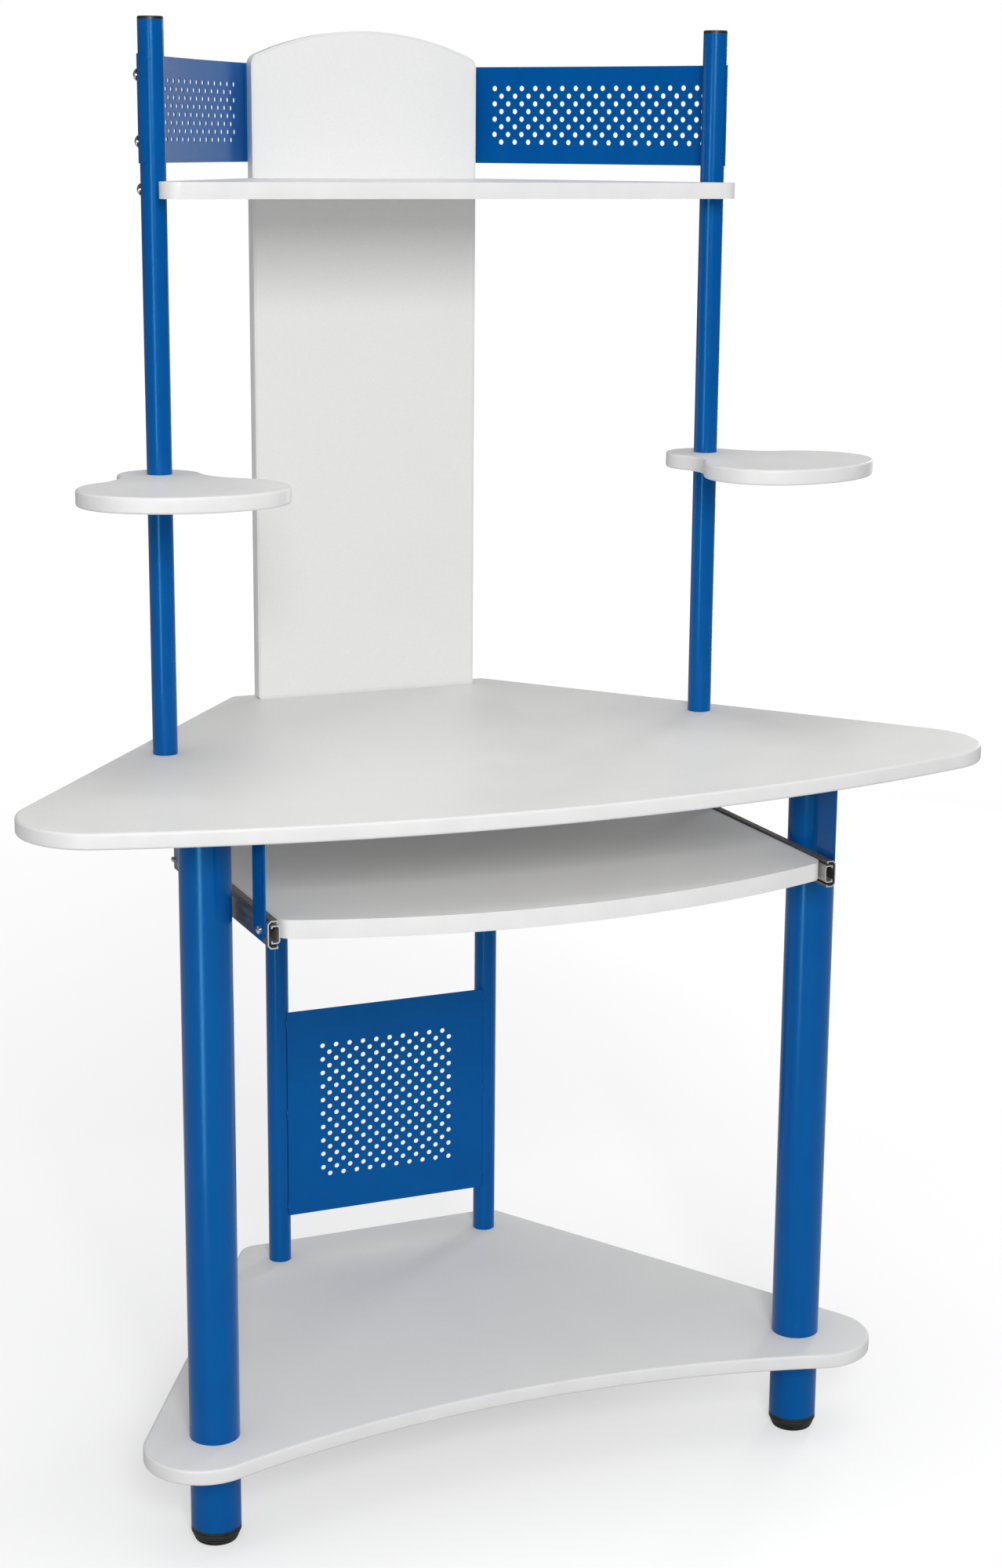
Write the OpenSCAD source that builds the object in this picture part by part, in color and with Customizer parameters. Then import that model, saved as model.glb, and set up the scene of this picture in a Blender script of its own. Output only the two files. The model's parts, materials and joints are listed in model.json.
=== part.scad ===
// Corner desk with a raised shelf, two swivelling side shelves and a keyboard tray on ball slides.
// Millimetres. X to the right, Y to the back corner, Z up. The origin is on the floor, in the middle.

/* [Boards] */
// thickness of every board except the keyboard tray
board_t = 16; // [12:1:25]
// thickness of the keyboard tray
tray_t = 18; // [12:1:25]
// thickness of the white edge trim
trim_t = 3; // [1:0.5:4]

/* [Worktop] */
// height of the worktop's top face
worktop_z = 755; // [650:1:900]
// radius of the curved front edge
worktop_front_r = 1600; // [1000:10:4000]
// radius of the two side corners
worktop_corner_r = 75; // [20:1:120]
// half the distance between the centres of the side corners
worktop_corner_x = 432; // [300:1:600]
// front and back limits of the worktop
worktop_front_y = -307; // [-400:1:-200]
worktop_back_y = 307; // [200:1:400]
// half the distance between the centres of the back corners
worktop_back_x = 147; // [80:1:250]

/* [Base shelf] */
// height of the base shelf's top face
base_z = 110; // [60:1:250]
// radius of the hollow front edge
base_front_r = 1100; // [500:10:3000]
// middle of the hollow front edge
base_front_y = -181; // [-300:1:0]
// radius of the lobes round the front legs
base_lobe_r = 60; // [35:1:90]
// half the distance between the centres of the lobes
base_lobe_x = 342; // [200:1:450]
// back edge of the base shelf
base_back_y = 281; // [150:1:350]

/* [Legs and tubes] */
// outside diameter of the front legs
leg_d = 50; // [30:1:70]
// wall thickness of the tubes
wall_t = 1.5; // [1:0.1:3]
// position of the front legs
leg_x = 327; // [200:1:450]
leg_y = -159; // [-250:1:0]
// outside diameter of the posts and the rear tubes
post_d = 25; // [16:1:40]
// position of the posts
post_x = 302; // [150:1:400]
post_y = 52.5; // [-100:0.5:200]
// top of the post caps
post_z = 1472; // [1000:1:1900]
// position of the rear tubes
rear_x = 126.5; // [80:0.5:250]
rear_y = 233; // [100:1:300]
// bottom of the foot tubes
foot_z = 15.3; // [8:0.1:40]

/* [Back panel and top shelf] */
// half the width of the back panel
panel_x = 128; // [80:1:250]
// front face of the back panel
panel_y = 279; // [150:1:350]
// radius of the arched top of the back panel
panel_arch_r = 300; // [150:5:900]
// radius of the back panel's shoulders
panel_shoulder_r = 12; // [4:1:40]
// height of the top shelf's top face
top_shelf_z = 1319; // [1000:1:1700]
// half the width of the top shelf at its front edge
top_shelf_x = 307; // [200:1:400]
// front edge of the top shelf
top_shelf_y = -3; // [-150:1:100]

/* [Side shelves] */
// height of the side shelves' top faces
side_z = 1037; // [850:1:1250]
// how far each side shelf is turned outwards
side_turn_left = 4; // [0:1:90]
side_turn_right = 26; // [0:1:90]
// radii of the shelf's neck, wide corners, front edge and hollow flanks
neck_r = 42; // [20:1:60]
bell_corner_r = 68; // [30:1:90]
bell_front_r = 138; // [90:1:400]
bell_flank_r = 60; // [20:1:200]
// position of the wide corners, across and away from the post
bell_corner_x = 35; // [10:1:90]
bell_corner_y = 109; // [60:1:200]

/* [Perforated sheets] */
// thickness of the sheet steel
sheet_t = 1.2; // [0.8:0.1:2]
// distance between holes in a row
hole_pitch = 16.2; // [10:0.1:30]
// diameter of the holes
hole_d = 5.6; // [3:0.1:10]
// lower and upper edges of the wing sheets beside the posts
wing_z0 = 1335.5; // [1200:0.5:1450]
wing_z1 = 1437.5; // [1250:0.5:1500]
// distance from the post to the first column of holes in a wing sheet
wing_lead = 20; // [10:0.5:60]
// radius to which the wing sheets are bowed
wing_bow_r = 1600; // [600:50:6000]
// lower and upper edges of the modesty sheet
modesty_z0 = 165; // [120:1:400]
modesty_z1 = 407; // [200:1:700]

/* [Keyboard tray] */
// height of the tray's top face
tray_z = 660; // [550:1:720]
// half the width of the tray
tray_x = 286.5; // [200:0.5:400]
// middle of the tray's curved front edge
tray_front_y = -306; // [-400:1:-200]
// radius of the tray's curved front edge
tray_front_r = 800; // [400:10:3000]
// back edge of the tray
tray_back_y = 41.5; // [-50:0.5:200]
// front end, length, height and depth of the slides
rail_y = -258.5; // [-350:0.5:-200]
rail_l = 300; // [200:10:500]
rail_h = 27; // [17:1:45]
rail_w = 12; // [8:1:20]
// diameter of the balls in the slides
ball_d = 3.2; // [2:0.1:5]

/* [Hidden] */
$fn = 0;
$fa = 4;
$fs = 0.4;
leg_r = leg_d / 2;
post_r = post_d / 2;
gap = 0.2;
under_top = worktop_z - board_t;
under_base = base_z - board_t;
tray_mid_z = tray_z - tray_t / 2 - 3;
rail_metal = 1.2;
rail_out_x = tray_x + rail_w;
rail_end_y = rail_y + rail_l;
hanger_t = 1.5;
hanger_w = 34;
hanger_ys = [-237, 14];
stop_y = rail_end_y - 5;
stud_r = 5;
foot_rings = 3;
foot_taper = 3.6;
foot_groove_h = 0.7;
foot_groove_d = 0.8;
foot_groove_z = 11.6;
bush_r = 8;
side_low = side_z - board_t;
panel_back_y = panel_y + board_t;
modesty_y = rear_y - 11.4;
modesty_x = rear_x - 7.35;
wing_r = post_r + 0.1;
wing_bend = [130, panel_back_y + 0.2];
wing_wrap = 86;
wing_flange = 32;
wing_screw_x = wing_bend[0] - 18;
stud_hole_r = 4.2;
bolt_r = 2.5;
bolt_hole_r = 2.8;
screw_r = 2.2;
screw_hole_r = 2.5;
shelf_bolt_l = 42;
bolt_turn = 30;
bolt_l = 18;
groove_w = 3.6;
groove_d = 0.9;
groove_pitch = 9;
bolt_head_r = 5.6;
bolt_head_h = 3.4;
wing_corner_r = 5.5;
bolt_zs = [wing_z0 + 20.5, wing_z1 - 19.5];
shelf_mid_z = top_shelf_z - board_t / 2;
panel_mid_y = panel_y + board_t / 2;
panel_screw_xs = [-90, 0, 90];
shelf_screw_xs = [-70, 70];
front_feet = [[-leg_x, leg_y], [leg_x, leg_y]];
rear_feet = [[-rear_x, rear_y], [rear_x, rear_y]];
plug_r = leg_r - wall_t - 0.1;
plug_h = 18;
plug_floor = 4;
leg_screw_angles = [30, 150, 270];
leg_screw_r = 13;
tray_screw_ys = [-220, -110, 10];
cage_y = -153.5;
cage_l = 90;
ball_ys = [9, 27, 45, 63, 81];
ball_v = (17.6 + rail_h - 2 * rail_metal) / 4;

// ---- outlines ----

// outward unit normal of the straight edge that touches circle c and circle b on their right
function belt_normal(c, cr, b, br) =
  let (d = c - b, a = atan2(d[1], d[0]) + acos((br - cr) / norm(d)))
  [cos(a), sin(a)];

function flip(p) = [-p[0], p[1]];

// centre of a corner circle that touches the front arc from inside
function corner_centre(cx, cr, fr, fy) = [cx, fy + fr - sqrt(pow(fr - cr, 2) - cx * cx)];

// points along an arc in n steps from angle a0 to a1, leaving out points at its start and end
function arc(c, r, a0, a1, n, skip_start = 0, skip_end = 0) = [
  for (i = [skip_start : n - skip_end])
    let (a = a0 + (a1 - a0) * i / n)
    c + r * [cos(a), sin(a)]
];

function angle(v) = atan2(v[1], v[0]);

// a right-hand half outline that ends on the middle line, closed with its mirror image
function closed(half) = concat(half, [for (i = [len(half) - 2 : -1 : 0]) flip(half[i])]);

// a board with a bowed front edge, two side corners and two back corners, drawn in by e all round
module bowed_outline(cx, cr, fr, fy, bx, br, by, e) {
  f = [0, fy + fr];
  c = corner_centre(cx, cr, fr, fy);
  b = [bx, by - br];
  side_a = angle(belt_normal(c, cr, b, br));
  front_a = angle(c - f);
  polygon(closed(concat(
    arc(b, br - e, 90, side_a, 6),
    arc(c, cr - e, side_a, front_a, 28),
    arc(f, fr - e, front_a, -90, 24, 1)
  )));
}

// the base shelf: lobes round the front legs, a hollow front edge and rounded back corners
module base_outline(e) {
  f = [0, base_front_y - base_front_r];
  c = [base_lobe_x, f[1] + sqrt(pow(base_front_r + base_lobe_r, 2) - base_lobe_x * base_lobe_x)];
  br = 22;
  b = [143, base_back_y - br];
  side_a = angle(belt_normal(c, base_lobe_r, b, br));
  front_a = angle(c - f);
  polygon(closed(concat(
    arc(b, br - e, 90, side_a, 10),
    arc(c, base_lobe_r - e, side_a, front_a - 180, 32),
    arc(f, base_front_r + e, front_a, 90, 16, 1)
  )));
}

// centre of the circle that makes the bell shelf's hollow flank
function flank_centre() =
  let (
    c = [bell_corner_x, -bell_corner_y],
    d = norm(c),
    d1 = neck_r + bell_flank_r,
    d2 = bell_corner_r + bell_flank_r,
    along = (d1 * d1 - d2 * d2 + d * d) / (2 * d),
    across = sqrt(d1 * d1 - along * along),
    u = c / d
  )
  u * along + [-u[1], u[0]] * across;

// a side shelf: a round neck at the post opening into a bell with a bowed front edge
module bell_outline(e) {
  c = [bell_corner_x, -bell_corner_y];
  f = [0, c[1] + sqrt(pow(bell_front_r - bell_corner_r, 2) - c[0] * c[0])];
  k = flank_centre();
  neck_a = angle(k);
  flank_a = angle(c - k);
  front_a = angle(c - f);
  polygon(closed(concat(
    arc([0, 0], neck_r - e, 90, neck_a, 16, 0, 1),
    arc(k, bell_flank_r + e, neck_a - 180, flank_a, 12),
    arc(c, bell_corner_r - e, flank_a + 180, front_a, 20, 1, 1),
    arc(f, bell_front_r - e, front_a, -90, 10)
  )));
}

// the top shelf: its sides run in past the posts and then along the wing sheets to the back panel
module top_shelf_outline(e) {
  r = 18;
  c = [top_shelf_x - r, top_shelf_y + r];
  touch = [post_x - post_r + 0.6, post_y - 3.9];
  n1 = belt_normal(c, r, touch, 0);
  corner = [panel_x - 2, panel_y];
  n2 = belt_normal(touch, 0, corner, 0);
  m = (n1 + n2) / (1 + n1 * n2);
  half = concat([[corner[0] - e / n2[0], corner[1]], touch - e * m], arc(c, r - e, angle(n1), -90, 12));
  difference() {
    polygon(concat(half, [for (i = [len(half) - 1 : -1 : 0]) flip(half[i])]));
    translate([post_x, post_y]) circle(r = post_r + 0.3 + e);
    translate([-post_x, post_y]) circle(r = post_r + 0.3 + e);
  }
}

module worktop_outline(e) {
  bowed_outline(worktop_corner_x, worktop_corner_r, worktop_front_r, worktop_front_y,
    worktop_back_x, 8, worktop_back_y, e);
}

module tray_outline(e) {
  bowed_outline(tray_x - 20, 20, tray_front_r, tray_front_y, tray_x - 4, 4, tray_back_y, e);
}

// the back panel seen from the front, with its arch drawn towards -Y
module panel_outline(e) {
  bowed_outline(panel_x - panel_shoulder_r, panel_shoulder_r, panel_arch_r, -post_z,
    panel_x - 3, 3, -worktop_z, e);
}

module panel_solid(e) {
  translate([0, panel_back_y, 0]) rotate([90, 0, 0])
    mirror([0, 1, 0]) linear_extrude(board_t) panel_outline(e);
}

// ---- boards ----

module worktop() color([0.84, 0.84, 0.85])
  difference() {
    translate([0, 0, under_top]) linear_extrude(board_t) worktop_outline(trim_t);
    for (s = [-1, 1])
      translate([s * post_x, post_y, under_top - 1]) cylinder(r = stud_hole_r, h = board_t + 2);
    for (x = panel_screw_xs)
      translate([x, panel_mid_y, under_top - 1]) cylinder(r = screw_hole_r, h = board_t + 2);
  }

module worktop_trim() color([0.95, 0.95, 0.94])
  translate([0, 0, under_top]) linear_extrude(board_t)
    difference() {
      worktop_outline(0);
      worktop_outline(trim_t);
    }

module base_shelf() color([0.84, 0.84, 0.85])
  difference() {
    translate([0, 0, under_base]) linear_extrude(board_t) base_outline(trim_t);
    for (p = concat(front_feet, rear_feet))
      translate([p[0], p[1], under_base - 1]) cylinder(r = stud_hole_r, h = board_t + 2);
  }

module base_trim() color([0.95, 0.95, 0.94])
  translate([0, 0, under_base]) linear_extrude(board_t)
    difference() {
      base_outline(0);
      base_outline(trim_t);
    }

module back_panel() color([0.84, 0.84, 0.85])
  difference() {
    panel_solid(trim_t);
    for (x = panel_screw_xs) translate([x, panel_mid_y, worktop_z]) cylinder(r = screw_hole_r, h = 42);
    for (x = shelf_screw_xs)
      translate([x, panel_back_y + 1, shelf_mid_z])
        rotate([90, 0, 0]) cylinder(r = screw_hole_r, h = board_t + 2);
  }

module back_trim() color([0.95, 0.95, 0.94])
  difference() {
    panel_solid(0);
    translate([0, 0.5, 0]) panel_solid(trim_t);
    translate([0, -0.5, 0]) panel_solid(trim_t);
    for (x = panel_screw_xs)
      translate([x, panel_mid_y, worktop_z - 1]) cylinder(r = screw_hole_r, h = trim_t + 2);
  }

// the holes for the bolts that run from the posts into the top shelf
module shelf_bolt_holes()
  for (m = [0, 1]) mirror([m, 0, 0])
    translate([post_x, post_y, shelf_mid_z])
      rotate([0, -90, bolt_turn]) cylinder(r = bolt_hole_r, h = shelf_bolt_l);

module top_shelf() color([0.84, 0.84, 0.85])
  difference() {
    translate([0, 0, top_shelf_z - board_t]) linear_extrude(board_t) top_shelf_outline(trim_t);
    for (x = shelf_screw_xs)
      translate([x, panel_y + 1, shelf_mid_z]) rotate([90, 0, 0]) cylinder(r = screw_hole_r, h = 31);
    shelf_bolt_holes();
  }

module top_shelf_trim() color([0.95, 0.95, 0.94])
  difference() {
    translate([0, 0, top_shelf_z - board_t]) linear_extrude(board_t)
      difference() {
        top_shelf_outline(0);
        top_shelf_outline(trim_t);
      }
    shelf_bolt_holes();
  }

module side_shelf() color([0.84, 0.84, 0.85])
  difference() {
    linear_extrude(board_t) bell_outline(trim_t);
    translate([0, 0, -1]) cylinder(r = bush_r + 0.06, h = board_t + 2);
  }

module side_trim() color([0.95, 0.95, 0.94])
  linear_extrude(board_t)
    difference() {
      bell_outline(0);
      bell_outline(trim_t);
    }

module side_shelf_left() translate([-post_x, post_y, side_low]) rotate([0, 0, -side_turn_left]) side_shelf();
module side_trim_left() translate([-post_x, post_y, side_low]) rotate([0, 0, -side_turn_left]) side_trim();
module side_shelf_right() translate([post_x, post_y, side_low]) rotate([0, 0, side_turn_right]) side_shelf();
module side_trim_right() translate([post_x, post_y, side_low]) rotate([0, 0, side_turn_right]) side_trim();

// the pilot holes for the screws that hold the inner rails
module tray_screw_holes()
  for (s = [-1, 1], y = tray_screw_ys)
    translate([s * (tray_x - 14), y, tray_mid_z]) rotate([0, s * 90, 0]) cylinder(r = 1.8, h = 16);

module tray() color([0.84, 0.84, 0.85])
  difference() {
    translate([0, 0, tray_z - tray_t]) linear_extrude(tray_t) tray_outline(trim_t);
    tray_screw_holes();
  }

module tray_trim() color([0.95, 0.95, 0.94])
  difference() {
    translate([0, 0, tray_z - tray_t]) linear_extrude(tray_t)
      difference() {
        tray_outline(0);
        tray_outline(trim_t);
      }
    tray_screw_holes();
  }

// ---- tubes ----

module tube(x, y, z0, z1, r)
  translate([x, y, z0])
    difference() {
      cylinder(r = r, h = z1 - z0);
      translate([0, 0, -1]) cylinder(r = r - wall_t, h = z1 - z0 + 2);
    }

module leg_left() color([0, 0.33, 0.63]) tube(-leg_x, leg_y, base_z, under_top, leg_r);
module leg_right() color([0, 0.33, 0.63]) tube(leg_x, leg_y, base_z, under_top, leg_r);
module foot_tube_left() color([0, 0.33, 0.63]) tube(-leg_x, leg_y, foot_z, under_base, leg_r);
module foot_tube_right() color([0, 0.33, 0.63]) tube(leg_x, leg_y, foot_z, under_base, leg_r);
module rear_tube_left() color([0, 0.33, 0.63]) tube(-rear_x, rear_y, base_z, under_top, post_r);
module rear_tube_right() color([0, 0.33, 0.63]) tube(rear_x, rear_y, base_z, under_top, post_r);
module rear_foot_tube_left() color([0, 0.33, 0.63]) tube(-rear_x, rear_y, foot_z, under_base, post_r);
module rear_foot_tube_right() color([0, 0.33, 0.63]) tube(rear_x, rear_y, foot_z, under_base, post_r);
module post_lower_left() color([0, 0.33, 0.63]) tube(-post_x, post_y, worktop_z, side_low - gap, post_r);
module post_lower_right() color([0, 0.33, 0.63]) tube(post_x, post_y, worktop_z, side_low - gap, post_r);

// the right upper post, drilled on its outer side for two wing bolts and right through for the top shelf bolt
module post_upper() color([0, 0.33, 0.63])
  difference() {
    tube(post_x, post_y, side_z + gap, post_z - 3, post_r);
    for (z = bolt_zs)
      translate([post_x, post_y, z]) rotate([0, 90, bolt_turn]) cylinder(r = bolt_hole_r, h = post_d);
    translate([post_x, post_y, shelf_mid_z]) rotate([0, 90, bolt_turn])
      cylinder(r = bolt_hole_r, h = 2 * post_d, center = true);
  }

module post_upper_right() post_upper();
module post_upper_left() mirror([1, 0, 0]) post_upper();

module post_cap(s) color([0.05, 0.05, 0.06])
  translate([s * post_x, post_y, post_z - 3]) {
    difference() {
      cylinder(r = post_r, h = 3);
      translate([0, 0, 2.2])
        difference() {
          cylinder(r = post_r + 1, h = 1);
          translate([0, 0, -0.1]) cylinder(r1 = post_r, r2 = post_r - 1, h = 1.2);
        }
    }
    translate([0, 0, -14]) cylinder(r = post_r - wall_t - 0.1, h = 14);
  }

module post_cap_left() post_cap(-1);
module post_cap_right() post_cap(1);

// the sleeve that carries the upper post through the side shelf, so that the shelf can turn on it
module swivel_bush(s) color([0.75, 0.76, 0.78])
  translate([s * post_x, post_y, side_low - gap])
    difference() {
      cylinder(r = bush_r, h = board_t + 2 * gap);
      translate([0, 0, -1]) cylinder(r = stud_hole_r, h = board_t + 3);
    }

module swivel_bush_left() swivel_bush(-1);
module swivel_bush_right() swivel_bush(1);

// ---- feet ----

// the ring that closes the end of a foot tube, with a grip groove round it
module collar(p, r, z)
  translate([p[0], p[1], z])
    difference() {
      union() {
        cylinder(r = r, h = foot_z - z);
        translate([0, 0, foot_z - z]) cylinder(r = r - wall_t - 0.1, h = 24);
      }
      translate([0, 0, -1]) cylinder(r = stud_r + 0.08, h = 60);
      translate([0, 0, foot_groove_z - z])
        difference() {
          cylinder(r = r + 1, h = foot_groove_h);
          translate([0, 0, -1]) cylinder(r = r - foot_groove_d, h = foot_groove_h + 2);
        }
    }

// a levelling foot: rings that narrow towards the floor, and its threaded stud
module foot(p, r, z) {
  step = z / foot_rings;
  drop = foot_taper / foot_rings;
  translate([p[0], p[1], 0]) {
    for (k = [0 : foot_rings - 1])
      translate([0, 0, k * step])
        cylinder(
          r1 = r - foot_taper + k * drop,
          r2 = r - foot_taper + (k + 1) * drop,
          h = step - foot_groove_h
        );
    cylinder(r = r - foot_taper - foot_groove_d, h = z);
    translate([0, 0, z]) cylinder(r = stud_r, h = 27);
  }
}

module foot_collars_front() color([0.05, 0.05, 0.06]) for (p = front_feet) collar(p, leg_r, 9);
module foot_collars_rear() color([0.05, 0.05, 0.06]) for (p = rear_feet) collar(p, post_r, 9);
module foot_front_left() color([0.07, 0.07, 0.08]) foot(front_feet[0], leg_r - 0.5, 9);
module foot_front_right() color([0.07, 0.07, 0.08]) foot(front_feet[1], leg_r - 0.5, 9);
module foot_rear_left() color([0.07, 0.07, 0.08]) foot(rear_feet[0], post_r + 2, 9);
module foot_rear_right() color([0.07, 0.07, 0.08]) foot(rear_feet[1], post_r + 2, 9);

// ---- joints between tubes and boards ----

// a cup screwed under the worktop, on which the top of a front leg is pressed
module leg_flange(s) color([0.7, 0.71, 0.73])
  translate([s * leg_x, leg_y, under_top - plug_h])
    difference() {
      cylinder(r = plug_r, h = plug_h);
      translate([0, 0, -1]) cylinder(r = plug_r - 2.5, h = plug_h - plug_floor + 1);
      for (a = leg_screw_angles)
        rotate([0, 0, a]) translate([leg_screw_r, 0, 0]) cylinder(r = 2.3, h = plug_h + 1);
    }

module leg_flange_left() leg_flange(-1);
module leg_flange_right() leg_flange(1);

// threaded plugs pressed into the tube ends where two tubes are drawn together through a board
module plug(x, y, z, r)
  translate([x, y, z])
    difference() {
      cylinder(r = r - wall_t - 0.1, h = 14);
      translate([0, 0, -1]) cylinder(r = 4.1, h = 16);
    }

module tube_plugs() color([0.7, 0.71, 0.73])
  for (s = [-1, 1]) {
    plug(s * leg_x, leg_y, base_z, leg_r);
    plug(s * leg_x, leg_y, under_base - 14, leg_r);
    plug(s * rear_x, rear_y, base_z, post_r);
    plug(s * rear_x, rear_y, under_base - 14, post_r);
    plug(s * post_x, post_y, worktop_z, post_r);
    plug(s * post_x, post_y, side_low - gap - 14, post_r);
    plug(s * post_x, post_y, side_z + gap, post_r);
  }

module through_studs() color([0.75, 0.76, 0.78])
  for (s = [-1, 1]) {
    translate([s * leg_x, leg_y, under_base - 12]) cylinder(r = 4, h = board_t + 24);
    translate([s * rear_x, rear_y, under_base - 12]) cylinder(r = 4, h = board_t + 24);
    translate([s * post_x, post_y, side_low - 12]) cylinder(r = 4, h = board_t + 24);
    translate([s * post_x, post_y, under_top]) cylinder(r = 4, h = board_t + 12);
    translate([s * post_x, post_y, under_top - 5]) cylinder(r = 7.5, h = 5, $fn = 6);
  }

// ---- perforated sheets ----

// two grids of holes, the second set half a pitch across and half a pitch up
module perforation(cols, rows, w0, h0, lead)
  for (j = [0 : rows - 1], i = [0 : cols - 1])
    if ((i + j) % 2 == lead)
      translate([w0 + i * hole_pitch / 2, h0 + j * hole_pitch / 2]) circle(d = hole_d);

module modesty_sheet() color([0, 0.33, 0.63])
  translate([0, modesty_y + sheet_t, 0]) rotate([90, 0, 0]) linear_extrude(sheet_t)
    difference() {
      translate([-modesty_x, modesty_z0]) square([2 * modesty_x, modesty_z1 - modesty_z0]);
      perforation(20, 20, -9.5 * hole_pitch / 2, (modesty_z0 + modesty_z1 - 19 * hole_pitch / 2) / 2, 1);
    }

// centre of the circle of radius r through point q that also touches the circle of radius pr round p
function bow_centre(p, pr, q, r) =
  let (
    d = norm(q - p),
    rp = r - pr,
    along = (rp * rp - r * r + d * d) / (2 * d),
    across = sqrt(rp * rp - along * along),
    u = (q - p) / d
  )
  p + u * along + [-u[1], u[0]] * across;

// a square corner less its round, to cut from the end of a sheet that wraps a post
module corner_cut(z, up)
  translate([post_r - 3, 0, z]) mirror([0, 0, up ? 0 : 1])
    difference() {
      translate([0, -1, -1]) cube([6, wing_corner_r + 1, wing_corner_r + 1]);
      translate([-1, wing_corner_r, wing_corner_r]) rotate([0, 90, 0]) cylinder(r = wing_corner_r, h = 8);
    }

// a wing sheet for the right post: its outer end wraps the post, its inner end lies behind the back panel
module wing() {
  p = [post_x, post_y];
  w = bow_centre(p, wing_r, wing_bend, wing_bow_r);
  a = angle(p - w);
  start = w + wing_bow_r * [cos(a), sin(a)];
  chord = angle(wing_bend - start);
  back_y = wing_bend[1] + sheet_t;
  back_a = asin((back_y - w[1]) / (wing_bow_r + sheet_t));
  end_x = wing_bend[0] - wing_flange;
  difference() {
    translate([0, 0, wing_z0]) linear_extrude(wing_z1 - wing_z0)
      polygon(concat(
        arc(p, wing_r + sheet_t, a - wing_wrap, a, 20),
        arc(w, wing_bow_r + sheet_t, a, back_a, 12, 1),
        [[end_x, back_y], [end_x, wing_bend[1]]],
        arc(w, wing_bow_r, angle(wing_bend - w), a, 12, 0, 1),
        arc(p, wing_r, a, a - wing_wrap, 20)
      ));
    for (z = bolt_zs) {
      translate([post_x, post_y, z]) rotate([0, 90, bolt_turn]) cylinder(r = bolt_hole_r, h = post_d);
      translate([wing_screw_x, panel_back_y + 5, z]) rotate([90, 0, 0]) cylinder(r = 2.3, h = 8);
    }
    translate([post_x, post_y, 0]) rotate([0, 0, a - wing_wrap]) {
      corner_cut(wing_z0, true);
      corner_cut(wing_z1, false);
    }
    translate([start[0], start[1], wing_z0]) rotate([90, 0, chord]) translate([0, 0, -14]) linear_extrude(28)
      perforation(32, 8, wing_lead, (wing_z1 - wing_z0 - 7 * hole_pitch / 2) / 2, 0);
  }
}

module wing_right() color([0, 0.33, 0.63]) wing();
module wing_left() color([0, 0.33, 0.63]) mirror([1, 0, 0]) wing();

// a dome-headed bolt lying along +X, its head's seat at the origin
module dome_bolt(len, r, head_r, head_h)
  rotate([0, 90, 0])
    union() {
      translate([0, 0, -len]) cylinder(r = r, h = len);
      intersection() {
        translate([0, 0, head_h - head_r * 1.25]) sphere(r = head_r * 1.25);
        cylinder(r = head_r, h = head_h + 1);
      }
    }

// a bolt through a post at height z, its head's seat at a distance from the post's axis
module post_bolt(z, seat, len)
  translate([post_x, post_y, z]) rotate([0, 0, bolt_turn])
    translate([seat, 0, 0]) dome_bolt(len, bolt_r, bolt_head_r, bolt_head_h);

module wing_bolts() color([0.8, 0.8, 0.82])
  for (m = [0, 1]) mirror([m, 0, 0]) {
    for (z = bolt_zs) post_bolt(z, wing_r + sheet_t + 0.4, bolt_l);
    post_bolt(shelf_mid_z, post_r + 0.5, post_d + 26);
  }

module panel_screws() color([0.75, 0.76, 0.78]) {
  for (x = panel_screw_xs) translate([x, panel_mid_y, under_top - 2]) {
    cylinder(r = 4.5, h = 2);
    cylinder(r = screw_r, h = board_t + 38);
  }
  for (x = shelf_screw_xs) translate([x, panel_back_y, shelf_mid_z]) rotate([90, 0, 0]) {
    translate([0, 0, -2]) cylinder(r = 4.5, h = 2);
    cylinder(r = screw_r, h = board_t + 26);
  }
  for (s = [-1, 1], z = bolt_zs)
    translate([s * wing_screw_x, wing_bend[1] + sheet_t, z]) rotate([-90, 0, 0]) {
      cylinder(r = 4, h = 1.8);
      translate([0, 0, -sheet_t - 0.2]) cylinder(r = 2, h = sheet_t + 0.5);
    }
}

// ---- keyboard slides ----

// a hanger: a grooved strap from the worktop down to the outer rail
module hanger(y) color([0, 0.33, 0.63])
  difference() {
    union() {
      translate([rail_out_x, y, tray_mid_z]) rotate([90, 0, 90]) linear_extrude(hanger_t)
        polygon([
          [-hanger_w / 2, 0], [-hanger_w / 2 + 9, -9], [hanger_w / 2 - 9, -9], [hanger_w / 2, 0],
          [hanger_w / 2, under_top - tray_mid_z], [-hanger_w / 2, under_top - tray_mid_z]
        ]);
      translate([rail_out_x, y - hanger_w / 2, under_top - hanger_t]) cube([24, hanger_w, hanger_t]);
    }
    for (d = [-groove_pitch, 0, groove_pitch])
      translate([rail_out_x + hanger_t - groove_d, y + d - groove_w / 2, tray_mid_z + 20])
        cube([2, groove_w, under_top - tray_mid_z - 28]);
    translate([rail_out_x - 1, y, tray_mid_z]) rotate([0, 90, 0]) cylinder(r = 2.3, h = 4);
    for (d = [-9, 9]) translate([rail_out_x + 14, y + d, under_top - 4]) cylinder(r = 2.3, h = 6);
  }

module hanger_front_right() hanger(hanger_ys[0]);
module hanger_rear_right() hanger(hanger_ys[1]);
module hanger_front_left() mirror([1, 0, 0]) hanger(hanger_ys[0]);
module hanger_rear_left() mirror([1, 0, 0]) hanger(hanger_ys[1]);

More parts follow.
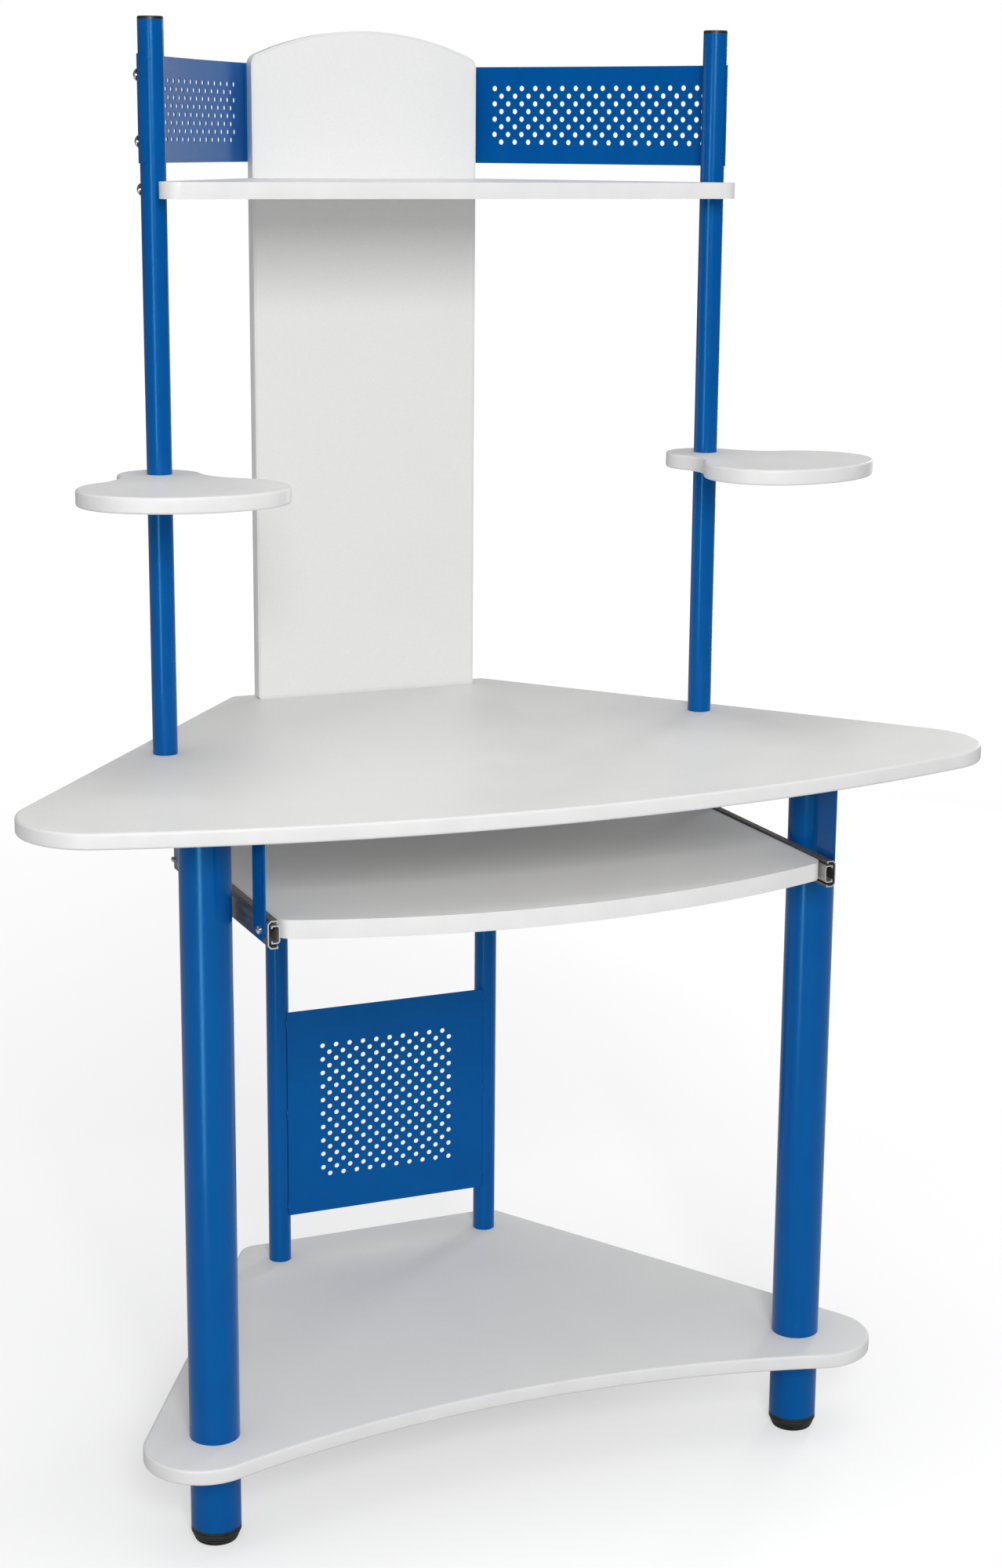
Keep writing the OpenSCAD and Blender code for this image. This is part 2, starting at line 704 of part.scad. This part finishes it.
// the bolts through the hangers, and the stop rivet at the back end of each outer rail
module hanger_bolts() color([0.8, 0.8, 0.82])
  for (m = [0, 1]) mirror([m, 0, 0]) {
    for (y = hanger_ys)
      translate([rail_out_x + hanger_t, y, tray_mid_z]) dome_bolt(hanger_t + rail_metal, 2, 4.2, 3);
    translate([rail_out_x + 2, stop_y, tray_mid_z]) dome_bolt(2 + rail_metal, 2, 3, 2.4);
  }

module short_screw(x, y, z)
  translate([x, y, z]) {
    translate([0, 0, -1.6]) cylinder(r = 3.6, h = 1.6);
    cylinder(r = 2, h = under_top - z);
  }

module underside_screws() color([0.75, 0.76, 0.78])
  for (s = [-1, 1]) {
    for (a = leg_screw_angles)
      short_screw(s * leg_x + leg_screw_r * cos(a), leg_y + leg_screw_r * sin(a), under_top - plug_floor);
    for (y = hanger_ys, d = [-9, 9]) short_screw(s * (rail_out_x + 14), y + d, under_top - hanger_t);
  }

// a bent C section of sheet metal: web at the origin, lips towards -X with their ends turned in
module c_section(depth, h, t, bend, hook) {
  k = t * tan(22.5);
  upper = [
    [0, h / 2 - bend], [-bend, h / 2], [-depth, h / 2], [-depth, h / 2 - hook], [t - depth, h / 2 - hook],
    [t - depth, h / 2 - t], [-bend - k, h / 2 - t], [-t, h / 2 - bend - k]
  ];
  polygon(concat(upper, [for (i = [len(upper) - 1 : -1 : 0]) [upper[i][0], -upper[i][1]]]));
}

module rail_outer() color([0.42, 0.43, 0.45])
  difference() {
    translate([rail_out_x, rail_end_y, tray_mid_z]) rotate([90, 0, 0]) linear_extrude(rail_l)
      c_section(10, rail_h, rail_metal, 3, 2.6);
    for (y = concat(hanger_ys, [stop_y]))
      translate([rail_out_x - 4, y, tray_mid_z]) rotate([0, 90, 0]) cylinder(r = 2.1, h = 6);
  }

module rail_inner() color([0.55, 0.56, 0.58])
  difference() {
    translate([tray_x, rail_end_y, tray_mid_z]) rotate([90, 0, 0]) linear_extrude(rail_l)
      mirror([1, 0, 0]) c_section(8.5, 17.6, rail_metal, 2, 3);
    for (y = tray_screw_ys)
      translate([tray_x - 1, y, tray_mid_z]) rotate([0, 90, 0]) cylinder(r = 1.9, h = 4);
  }

module tray_screws() color([0.75, 0.76, 0.78])
  for (m = [0, 1]) mirror([m, 0, 0])
    for (y = tray_screw_ys) translate([tray_x + rail_metal, y, tray_mid_z]) rotate([0, 90, 0]) {
      cylinder(r1 = 3.2, r2 = 2.4, h = 1.2);
      translate([0, 0, -rail_metal - 13]) cylinder(r = 1.75, h = rail_metal + 13);
    }

// the ball cage: a thin C that holds five balls above and five below
module cage() color([0.7, 0.71, 0.73])
  difference() {
    translate([rail_out_x - 1.8, cage_y + cage_l, tray_mid_z]) rotate([90, 0, 0]) linear_extrude(cage_l)
      c_section(6.7, 2 * ball_v + 0.6, 0.6, 1.2, 0.6);
    for (y = ball_ys, v = [-1, 1])
      translate([tray_x + 6, cage_y + y, tray_mid_z + v * ball_v - 1]) cylinder(d = ball_d + 0.3, h = 2);
  }

module cage_balls() color([0.8, 0.8, 0.82])
  for (y = ball_ys, v = [-1, 1])
    translate([tray_x + 6, cage_y + y, tray_mid_z + v * ball_v]) sphere(d = ball_d);

module rail_outer_right() rail_outer();
module rail_outer_left() mirror([1, 0, 0]) rail_outer();
module rail_inner_right() rail_inner();
module rail_inner_left() mirror([1, 0, 0]) rail_inner();
module ball_cage_right() cage();
module ball_cage_left() mirror([1, 0, 0]) cage();
module balls_right() cage_balls();
module balls_left() mirror([1, 0, 0]) cage_balls();

// ---- drawing ----

worktop();
worktop_trim();
base_shelf();
base_trim();
back_panel();
back_trim();
top_shelf();
top_shelf_trim();
side_shelf_left();
side_trim_left();
side_shelf_right();
side_trim_right();
tray();
tray_trim();
leg_left();
leg_right();
foot_tube_left();
foot_tube_right();
rear_tube_left();
rear_tube_right();
rear_foot_tube_left();
rear_foot_tube_right();
post_lower_left();
post_lower_right();
post_upper_left();
post_upper_right();
post_cap_left();
post_cap_right();
swivel_bush_left();
swivel_bush_right();
foot_collars_front();
foot_collars_rear();
foot_front_left();
foot_front_right();
foot_rear_left();
foot_rear_right();
leg_flange_left();
leg_flange_right();
tube_plugs();
through_studs();
modesty_sheet();
wing_left();
wing_right();
wing_bolts();
panel_screws();
hanger_front_left();
hanger_front_right();
hanger_rear_left();
hanger_rear_right();
hanger_bolts();
underside_screws();
tray_screws();
rail_outer_left();
rail_outer_right();
rail_inner_left();
rail_inner_right();
ball_cage_left();
ball_cage_right();
balls_left();
balls_right();
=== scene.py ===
import json
import math

import bmesh
import bpy
from mathutils import Matrix, Vector
from mathutils.bvhtree import BVHTree


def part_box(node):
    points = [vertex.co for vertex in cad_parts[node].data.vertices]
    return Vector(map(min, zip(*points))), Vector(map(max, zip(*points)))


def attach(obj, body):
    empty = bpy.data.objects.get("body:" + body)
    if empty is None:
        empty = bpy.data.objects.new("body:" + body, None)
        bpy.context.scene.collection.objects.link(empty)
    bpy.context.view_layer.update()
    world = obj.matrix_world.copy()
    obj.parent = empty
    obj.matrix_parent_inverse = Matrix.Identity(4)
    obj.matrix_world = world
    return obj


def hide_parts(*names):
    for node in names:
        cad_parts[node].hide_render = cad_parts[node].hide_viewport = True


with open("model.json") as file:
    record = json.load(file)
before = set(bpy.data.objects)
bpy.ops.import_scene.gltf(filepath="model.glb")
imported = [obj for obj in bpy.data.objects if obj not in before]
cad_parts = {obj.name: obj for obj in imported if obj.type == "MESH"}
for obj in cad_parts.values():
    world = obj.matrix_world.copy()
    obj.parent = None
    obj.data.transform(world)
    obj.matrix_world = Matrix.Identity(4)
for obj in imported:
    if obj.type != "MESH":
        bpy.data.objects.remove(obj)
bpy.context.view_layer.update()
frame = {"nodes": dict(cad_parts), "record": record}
nodes = frame["nodes"]
record = frame["record"]
MM = 0.001


# ---------------------------------------------------------------- shader helpers

NOISE_LOW = 0.3  # nearly all of a noise lies between these two
NOISE_HIGH = 0.7
FACING = 0.9  # a normal whose share along an axis is above this looks along it


class Shader:
    """A material with a Principled shader and short calls that add and link nodes."""

    def __init__(self, name, colour, roughness, metallic=0.0):
        self.material = bpy.data.materials.new(name)
        self.material.use_nodes = True
        self.tree = self.material.node_tree
        self.principled = self.tree.nodes["Principled BSDF"]
        base = {"Base Color": (*colour, 1), "Roughness": roughness, "Metallic": metallic}
        self.set(self.principled, base)
        self.where = self.add("ShaderNodeTexCoord").outputs["Object"]

    def set(self, node, values):
        """Set the values of a node's inputs by name."""
        for key, value in values.items():
            node.inputs[key].default_value = value

    def add(self, kind, links=None, values=None, **settings):
        """A new node with its settings, input values and input links."""
        node = self.tree.nodes.new(kind)
        for key, value in settings.items():
            setattr(node, key, value)
        self.set(node, values or {})
        for key, source in (links or {}).items():
            self.tree.links.new(source, node.inputs[key])
        return node

    def noise(self, scale, detail=3.0, stretch=(1, 1, 1)):
        """Noise in the object's own space, its scale in features per metre."""
        mapping = self.add("ShaderNodeMapping", {"Vector": self.where}, {"Scale": stretch})
        links = {"Vector": mapping.outputs[0]}
        values = {"Scale": scale, "Detail": detail}
        return self.add("ShaderNodeTexNoise", links, values).outputs["Fac"]

    def wave(self, scale, direction, distortion):
        """Bands across one axis of the object, wavering by the distortion."""
        links = {"Vector": self.where}
        values = {"Scale": scale, "Distortion": distortion, "Detail": 2.0, "Detail Scale": 3.0}
        node = self.add("ShaderNodeTexWave", links, values, bands_direction=direction)
        return node.outputs["Fac"]

    def math(self, operation, a, b=0.0):
        """A Math node on two values, each a number or an output."""
        node = self.add("ShaderNodeMath", operation=operation)
        for socket, value in zip(node.inputs, (a, b)):
            if isinstance(value, (int, float)):
                socket.default_value = value
            else:
                self.tree.links.new(value, socket)
        return node.outputs[0]

    def cut_ends(self):
        """1 on faces that look along Y, such as the sheared ends of a rail, and 0 elsewhere."""
        normal = self.add("ShaderNodeTexCoord").outputs["Normal"]
        along = self.add("ShaderNodeSeparateXYZ", {"Vector": normal}).outputs["Y"]
        return self.math("GREATER_THAN", self.math("ABSOLUTE", along), FACING)

    def spread(self, source, low, high, start=NOISE_LOW, end=NOISE_HIGH):
        """The source's range from start to end, spread over low to high."""
        values = {"From Min": start, "From Max": end, "To Min": low, "To Max": high}
        return self.add("ShaderNodeMapRange", {"Value": source}, values).outputs[0]

    def colours(self, source, *stops):
        """Drive the base colour through a ramp of (place, colour) stops."""
        ramp = self.add("ShaderNodeValToRGB", {"Fac": source})
        elements = ramp.color_ramp.elements
        for element, (place, colour) in zip(elements, (stops[0], stops[-1])):
            element.position = place
            element.color = (*colour, 1)
        for place, colour in stops[1:-1]:
            elements.new(place).color = (*colour, 1)
        self.tree.links.new(ramp.outputs["Color"], self.principled.inputs["Base Color"])

    def rough(self, source, low, high):
        """Let the roughness wander between low and high."""
        roughness = self.spread(source, low, high)
        self.tree.links.new(roughness, self.principled.inputs["Roughness"])

    def bump(self, source, height, strength):
        """Emboss the surface by a height in metres."""
        values = {"Strength": strength, "Distance": height}
        bump = self.add("ShaderNodeBump", {"Height": source}, values)
        self.tree.links.new(bump.outputs[0], self.principled.inputs["Normal"])


# ---------------------------------------------------------------- materials

def laminate():
    """Pale grey laminate with a fine linen emboss."""
    s = Shader("grey_laminate", (0.6, 0.6, 0.6), 0.5)
    thread_scale = 170
    waver = 3.0
    across = s.wave(thread_scale, "X", waver)
    along = s.wave(thread_scale, "Y", waver)
    speckle = s.math("MULTIPLY", s.noise(700, detail=4), 0.8)
    cloth = s.math("ADD", s.math("MULTIPLY", across, along), speckle)
    dark = (0.727, 0.724, 0.717)
    middle = (0.783, 0.78, 0.773)
    light = (0.843, 0.84, 0.832)
    shade = s.math("MULTIPLY", cloth, 0.62)
    s.colours(shade, (0.15, dark), (0.5, middle), (0.9, light))
    s.rough(s.noise(14, detail=2), 0.42, 0.55)
    s.bump(cloth, 0.04 * MM, strength=0.4)
    s.set(s.principled, {"Specular IOR Level": 0.35})
    return s.material


def edging():
    """White edge trim: smooth plastic with a very faint moulded grain."""
    s = Shader("white_edging", (0.7, 0.7, 0.7), 0.42)
    dark = (0.69, 0.69, 0.688)
    light = (0.715, 0.715, 0.713)
    s.colours(s.noise(30), (0.35, dark), (0.65, light))
    s.rough(s.noise(60), 0.36, 0.48)
    s.bump(s.noise(1500, detail=2), 0.02 * MM, strength=0.4)
    s.set(s.principled, {"Specular IOR Level": 0.35})
    return s.material


def blue_coat():
    """Glossy blue powder coat with the slight orange peel that it dries to."""
    s = Shader("blue_powder_coat", (0.0, 0.09, 0.33), 0.3)
    dark = (0.0, 0.074, 0.285)
    light = (0.0, 0.082, 0.31)
    s.colours(s.noise(20), (0.3, dark), (0.7, light))
    s.rough(s.noise(90), 0.19, 0.25)
    s.bump(s.noise(230, detail=2), 0.03 * MM, strength=0.16)
    s.set(s.principled, {"Specular IOR Level": 0.4, "Specular Tint": (0.22, 0.7, 1.0, 1)})
    return s.material


def black_plastic():
    """Moulded black plastic, very slightly green, with a fine spark-eroded grain."""
    s = Shader("black_plastic", (0.012, 0.012, 0.013), 0.5)
    dark = (0.009, 0.0125, 0.0115)
    light = (0.016, 0.021, 0.019)
    s.colours(s.noise(250), (0.3, dark), (0.7, light))
    s.rough(s.noise(120), 0.32, 0.44)
    s.bump(s.noise(1200), 0.05 * MM, strength=0.5)
    s.set(s.principled, {"Specular IOR Level": 0.5})
    return s.material


def rail_steel(name, dark, light):
    """Rolled zinc-plated rail: dull, drawn along its length, with bright cut ends."""
    s = Shader(name, light, 0.45, metallic=0.85)
    lines = s.noise(900, stretch=(1, 0.03, 1))
    grain = s.math("MULTIPLY", s.math("ADD", lines, s.noise(260, detail=4)), 0.5)
    ends = s.math("MULTIPLY", s.cut_ends(), 0.45)
    bare = (0.68, 0.675, 0.66)
    s.colours(s.math("ADD", grain, ends), (0.35, dark), (0.65, light), (0.9, bare))
    s.rough(lines, 0.36, 0.55)
    s.bump(lines, 0.03 * MM, strength=0.5)
    return s.material


def bright_steel():
    """Bright zinc plate on turned and pressed fasteners."""
    s = Shader("bright_zinc", (0.7, 0.71, 0.72), 0.25, metallic=1.0)
    dark = (0.6, 0.605, 0.61)
    light = (0.78, 0.785, 0.79)
    s.colours(s.noise(300, detail=4), (0.35, dark), (0.65, light))
    s.rough(s.noise(500), 0.18, 0.34)
    s.bump(s.noise(900, detail=2), 0.02 * MM, strength=0.4)
    return s.material


MATERIALS = {
    "grey_laminate": laminate(),
    "white_edging": edging(),
    "blue_steel": blue_coat(),
    "black_plastic": black_plastic(),
    "rail_steel": rail_steel("rail_steel", (0.15, 0.144, 0.136), (0.3, 0.29, 0.275)),
    "bright_steel": bright_steel(),
}
# a lighter copy of the rail zinc for the inner rails: a painted highlight standing in for the
# light their exposed webs reflect
PAINTED_HIGHLIGHT_INNER_RAIL_STEEL = rail_steel("inner_rail_steel_painted_highlight", (0.4, 0.395, 0.385), (0.6, 0.595, 0.58))
INNER_RAILS = ("rail_inner_left", "rail_inner_right")


def paint(obj, slot):
    """Give an object its slot's material and no other."""
    obj.data.materials.clear()
    obj.data.materials.append(MATERIALS[slot])


def paint_nodes():
    """Paint every CAD node for its slot. The inner rails get a lighter copy of the rail zinc, a
    painted highlight for the light their webs reflect.
    """
    for part in record["subparts"]:
        paint(nodes[part["node"]], part["material_slot"])
    for rail in INNER_RAILS:
        nodes[rail].data.materials[0] = PAINTED_HIGHLIGHT_INNER_RAIL_STEEL


# ---------------------------------------------------------------- pieces

BODY_OF = {}
for body_name, node_names in record["behaviour"]["bodies"].items():
    for node_name in node_names:
        BODY_OF[node_name] = body_name


def new_piece(name, build, body, slot):
    """A shown piece from a bmesh in the frame's metres, riding on a body, painted for a slot."""
    mesh = bpy.data.meshes.new(name)
    build.to_mesh(mesh)
    build.free()
    obj = bpy.data.objects.new(name, mesh)
    bpy.context.scene.collection.objects.link(obj)
    paint(obj, slot)
    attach(obj, body)
    return obj


def smooth(obj, angle):
    """Shade smoothly over edges that turn by less than the angle in degrees."""
    obj.data.shade_smooth()
    obj.data.set_sharp_from_angle(angle=math.radians(angle))


# ---------------------------------------------------------------- rounded edge trims

EDGE_ROUND = 2.7 * MM
EDGE_STEPS = 5
EDGE_SMOOTH = 35  # degrees
MERGE_DISTANCE = 0.01 * MM
FLAT_ANGLE = math.radians(0.5)
CORNER_ANGLE = 1.2  # radians. An edge that turns by more is a corner of the strip
CLEAR_OF_BOARD = 1 * MM
TRIMS = {
    "worktop_trim": "worktop",
    "base_trim": "base_shelf",
    "back_trim": "back_panel",
    "top_shelf_trim": "top_shelf",
    "side_trim_left": "side_shelf_left",
    "side_trim_right": "side_shelf_right",
    "tray_trim": "tray",
}


def outline(trim):
    """The trim's own shape as a bmesh, with its flat faces whole."""
    build = bmesh.new()
    build.from_mesh(nodes[trim].data)
    bmesh.ops.remove_doubles(build, verts=build.verts, dist=MERGE_DISTANCE)
    bmesh.ops.dissolve_limit(
        build, angle_limit=FLAT_ANGLE, verts=build.verts, edges=build.edges)
    return build


def outer_edges(build, board):
    """The two long corners of a strip that lie clear of the board it edges."""
    surface = BVHTree.FromObject(nodes[board], bpy.context.evaluated_depsgraph_get())
    outer = {v for v in build.verts if surface.find_nearest(v.co)[3] > CLEAR_OF_BOARD}
    clear = (e for e in build.edges if set(e.verts) <= outer and e.is_manifold)
    return [e for e in clear if e.calc_face_angle() > CORNER_ANGLE]


def rounded_trim(trim, board):
    """The trim's own outline with its two outer edges rounded over, as the moulded strip is."""
    build = outline(trim)
    bmesh.ops.bevel(
        build,
        geom=outer_edges(build, board),
        offset=EDGE_ROUND,
        segments=EDGE_STEPS,
        profile=0.5,
        affect="EDGES",
        clamp_overlap=True,
    )
    piece = new_piece(trim + "_rounded", build, BODY_OF[trim], "white_edging")
    smooth(piece, EDGE_SMOOTH)
    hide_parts(trim)


# ---------------------------------------------------------------- weld beads

BEAD_RADIUS = 1.3 * MM
BEAD_LENGTH = 12 * MM
BEAD_INSET = 14 * MM  # from the sheet's top or bottom edge to the middle of the nearest bead
BEAD_SIDES = 12
BEAD_SMOOTH = 60  # degrees
RING_SPACING = 0.5 * MM
RIPPLE = 0.18  # how far each drop swells beyond the bead's own radius
RIPPLE_TURN = 0.9  # radians of the ripple from one ring to the next


def bead_radius(ring, rings):
    """The radius at one ring: the bead tapers at both ends and swells with each drop."""
    inside = min(max(ring / rings, 0.04), 0.96)
    taper = math.sin(math.pi * inside) ** 0.35
    return BEAD_RADIUS * taper * (1 + RIPPLE * math.sin(ring * RIPPLE_TURN))


def weld_bead(build, start, end):
    """A short rippled bead of weld between two points: a closed tube made of rings."""
    axis = end - start
    rings = int(axis.length / RING_SPACING)
    turn = axis.to_track_quat("Z", "Y").to_matrix()
    angles = [2 * math.pi * side / BEAD_SIDES for side in range(BEAD_SIDES)]
    last = None
    for i in range(rings + 1):
        r = bead_radius(i, rings)
        place = start + axis * (i / rings)
        spokes = [Vector((r * math.cos(a), r * math.sin(a), 0)) for a in angles]
        ring = [build.verts.new(place + turn @ spoke) for spoke in spokes]
        if last:
            for k in range(BEAD_SIDES):
                build.faces.new((last[k], last[k - 1], ring[k - 1], ring[k]))
        else:
            build.faces.new(ring)
        last = ring
    build.faces.new(list(reversed(last)))


def sheet_welds():
    """Three welds down each side of the modesty sheet, where it meets the rear tubes."""
    low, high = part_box("modesty_sheet")
    middle_y = (low.y + high.y) / 2
    heights = (low.z + BEAD_INSET, (low.z + high.z) / 2, high.z - BEAD_INSET)
    up = Vector((0, 0, BEAD_LENGTH / 2))
    build = bmesh.new()
    for x in (low.x, high.x):
        for z in heights:
            place = Vector((x, middle_y, z))
            weld_bead(build, place - up, place + up)
    bmesh.ops.recalc_face_normals(build, faces=build.faces)
    smooth(new_piece("modesty_welds", build, "frame", "blue_steel"), BEAD_SMOOTH)


# ---------------------------------------------------------------- camera, light and floor

CAMERA_PLACE = (-1.0523, -2.550, 1.3576)
CAMERA_TURN = {"yaw": 23.27, "pitch": -13.23, "roll": 0.45}  # degrees
CAMERA_LENS = 62.64
SENSOR_WIDTH = 36
CAMERA_REACH = 50
WORKTOP = (0, 0, 0.75)  # the point on it that the large lights aim at
WHITE = (1, 1, 1, 1)
WORLD_LIT = 0.57  # how strongly the world lights the desk
WORLD_MIRRORED = 0.12  # weaker in reflections, so that the tubes keep their dark sides
WORLD_SEEN = 1.0
FLOOR_HALF_WIDTH = 12
FADE_START = 1.0  # metres from the origin, where the floor starts to fade into the background
FADE_END = 5.0
FLOOR_GLOW = (0.42, 0.75)  # what the camera sees the floor give off, at each end of the fade


def aim(yaw, pitch, roll):
    """Rotation of a camera that looks along +Y, turned right, up and clockwise in degrees."""
    turn = Matrix.Rotation(math.radians(-yaw), 4, "Z")
    lift = Matrix.Rotation(math.radians(90 + pitch), 4, "X")
    return turn @ lift @ Matrix.Rotation(math.radians(roll), 4, "Z")


def camera():
    """The view from the front left, looking down on the side shelves."""
    data = bpy.data.cameras.new("camera")
    data.sensor_width = SENSOR_WIDTH
    data.lens = CAMERA_LENS
    data.clip_end = CAMERA_REACH
    cam = bpy.data.objects.new("camera", data)
    bpy.context.scene.collection.objects.link(cam)
    cam.matrix_world = Matrix.Translation(CAMERA_PLACE) @ aim(**CAMERA_TURN)
    bpy.context.scene.camera = cam


def soft_box(name, place, target, size, power, diffuse=True):
    """A rectangular light aimed at a target. Without diffuse it shows only as a reflection."""
    data = bpy.data.lights.new(name, "AREA")
    data.shape = "RECTANGLE"
    data.size, data.size_y = size
    data.energy = power
    lamp = bpy.data.objects.new(name, data)
    bpy.context.scene.collection.objects.link(lamp)
    lamp.location = place
    lamp.visible_camera = False
    lamp.visible_diffuse = diffuse
    lamp.rotation_euler = (Vector(target) - Vector(place)).to_track_quat("-Z", "Y").to_euler()


def white_world():
    """A world that the camera sees as white, and that is weaker as light and in reflections."""
    world = bpy.data.worlds.new("studio")
    world.use_nodes = True
    tree = world.node_tree
    path = tree.nodes.new("ShaderNodeLightPath")
    lit = tree.nodes.new("ShaderNodeMapRange")
    lit.inputs["To Min"].default_value = WORLD_LIT
    lit.inputs["To Max"].default_value = WORLD_MIRRORED
    seen = tree.nodes.new("ShaderNodeMapRange")
    seen.inputs["To Max"].default_value = WORLD_SEEN
    background = tree.nodes["Background"]
    background.inputs["Color"].default_value = WHITE
    tree.links.new(path.outputs["Is Glossy Ray"], lit.inputs["Value"])
    tree.links.new(lit.outputs[0], seen.inputs["To Min"])
    tree.links.new(path.outputs["Is Camera Ray"], seen.inputs["Value"])
    tree.links.new(seen.outputs[0], background.inputs["Strength"])
    bpy.context.scene.world = world


def lights():
    """A key from the front left, an overhead box, a strip for the tubes' streaks, and a rim."""
    soft_box("key", (-1.1, -3.7, 2.3), WORKTOP, size=(1.0, 1.2), power=96)
    soft_box("top", (0.2, -0.6, 5.0), WORKTOP, size=(2.5, 2.5), power=40)
    soft_box("strip", (-0.99, -0.95, 0.77), (0, -0.1, 0.77), size=(0.22, 1.5), power=8,
             diffuse=False)
    soft_box("rim", (2.2, 1.7, 1.3), (-0.3, 0.0, 0.9), size=(0.5, 2.0), power=13)


def floor():
    """A pale floor that takes the soft shadows and fades into the white background."""
    mesh = bpy.data.meshes.new("floor")
    build = bmesh.new()
    bmesh.ops.create_grid(build, x_segments=8, y_segments=8, size=FLOOR_HALF_WIDTH)
    build.to_mesh(mesh)
    build.free()
    obj = bpy.data.objects.new("floor", mesh)
    bpy.context.scene.collection.objects.link(obj)
    s = Shader("pale_floor", (0.9, 0.9, 0.9), 0.7)
    dark = (0.59, 0.59, 0.59)
    light = (0.6, 0.6, 0.6)
    s.colours(s.noise(300, detail=2), (0.3, dark), (0.7, light))
    s.set(s.principled, {"Emission Color": WHITE, "Specular IOR Level": 0.2})
    distance = s.add("ShaderNodeVectorMath", {"Vector": s.where}, operation="LENGTH")
    glow = s.spread(distance.outputs["Value"], *FLOOR_GLOW, FADE_START, FADE_END)
    seen = s.add("ShaderNodeLightPath").outputs["Is Camera Ray"]
    s.tree.links.new(s.math("MULTIPLY", glow, seen), s.principled.inputs["Emission Strength"])
    mesh.materials.append(s.material)


paint_nodes()
for trim_node, board_node in TRIMS.items():
    rounded_trim(trim_node, board_node)
sheet_welds()
camera()
white_world()
lights()
floor()
bpy.context.scene.view_settings.view_transform = "Standard"
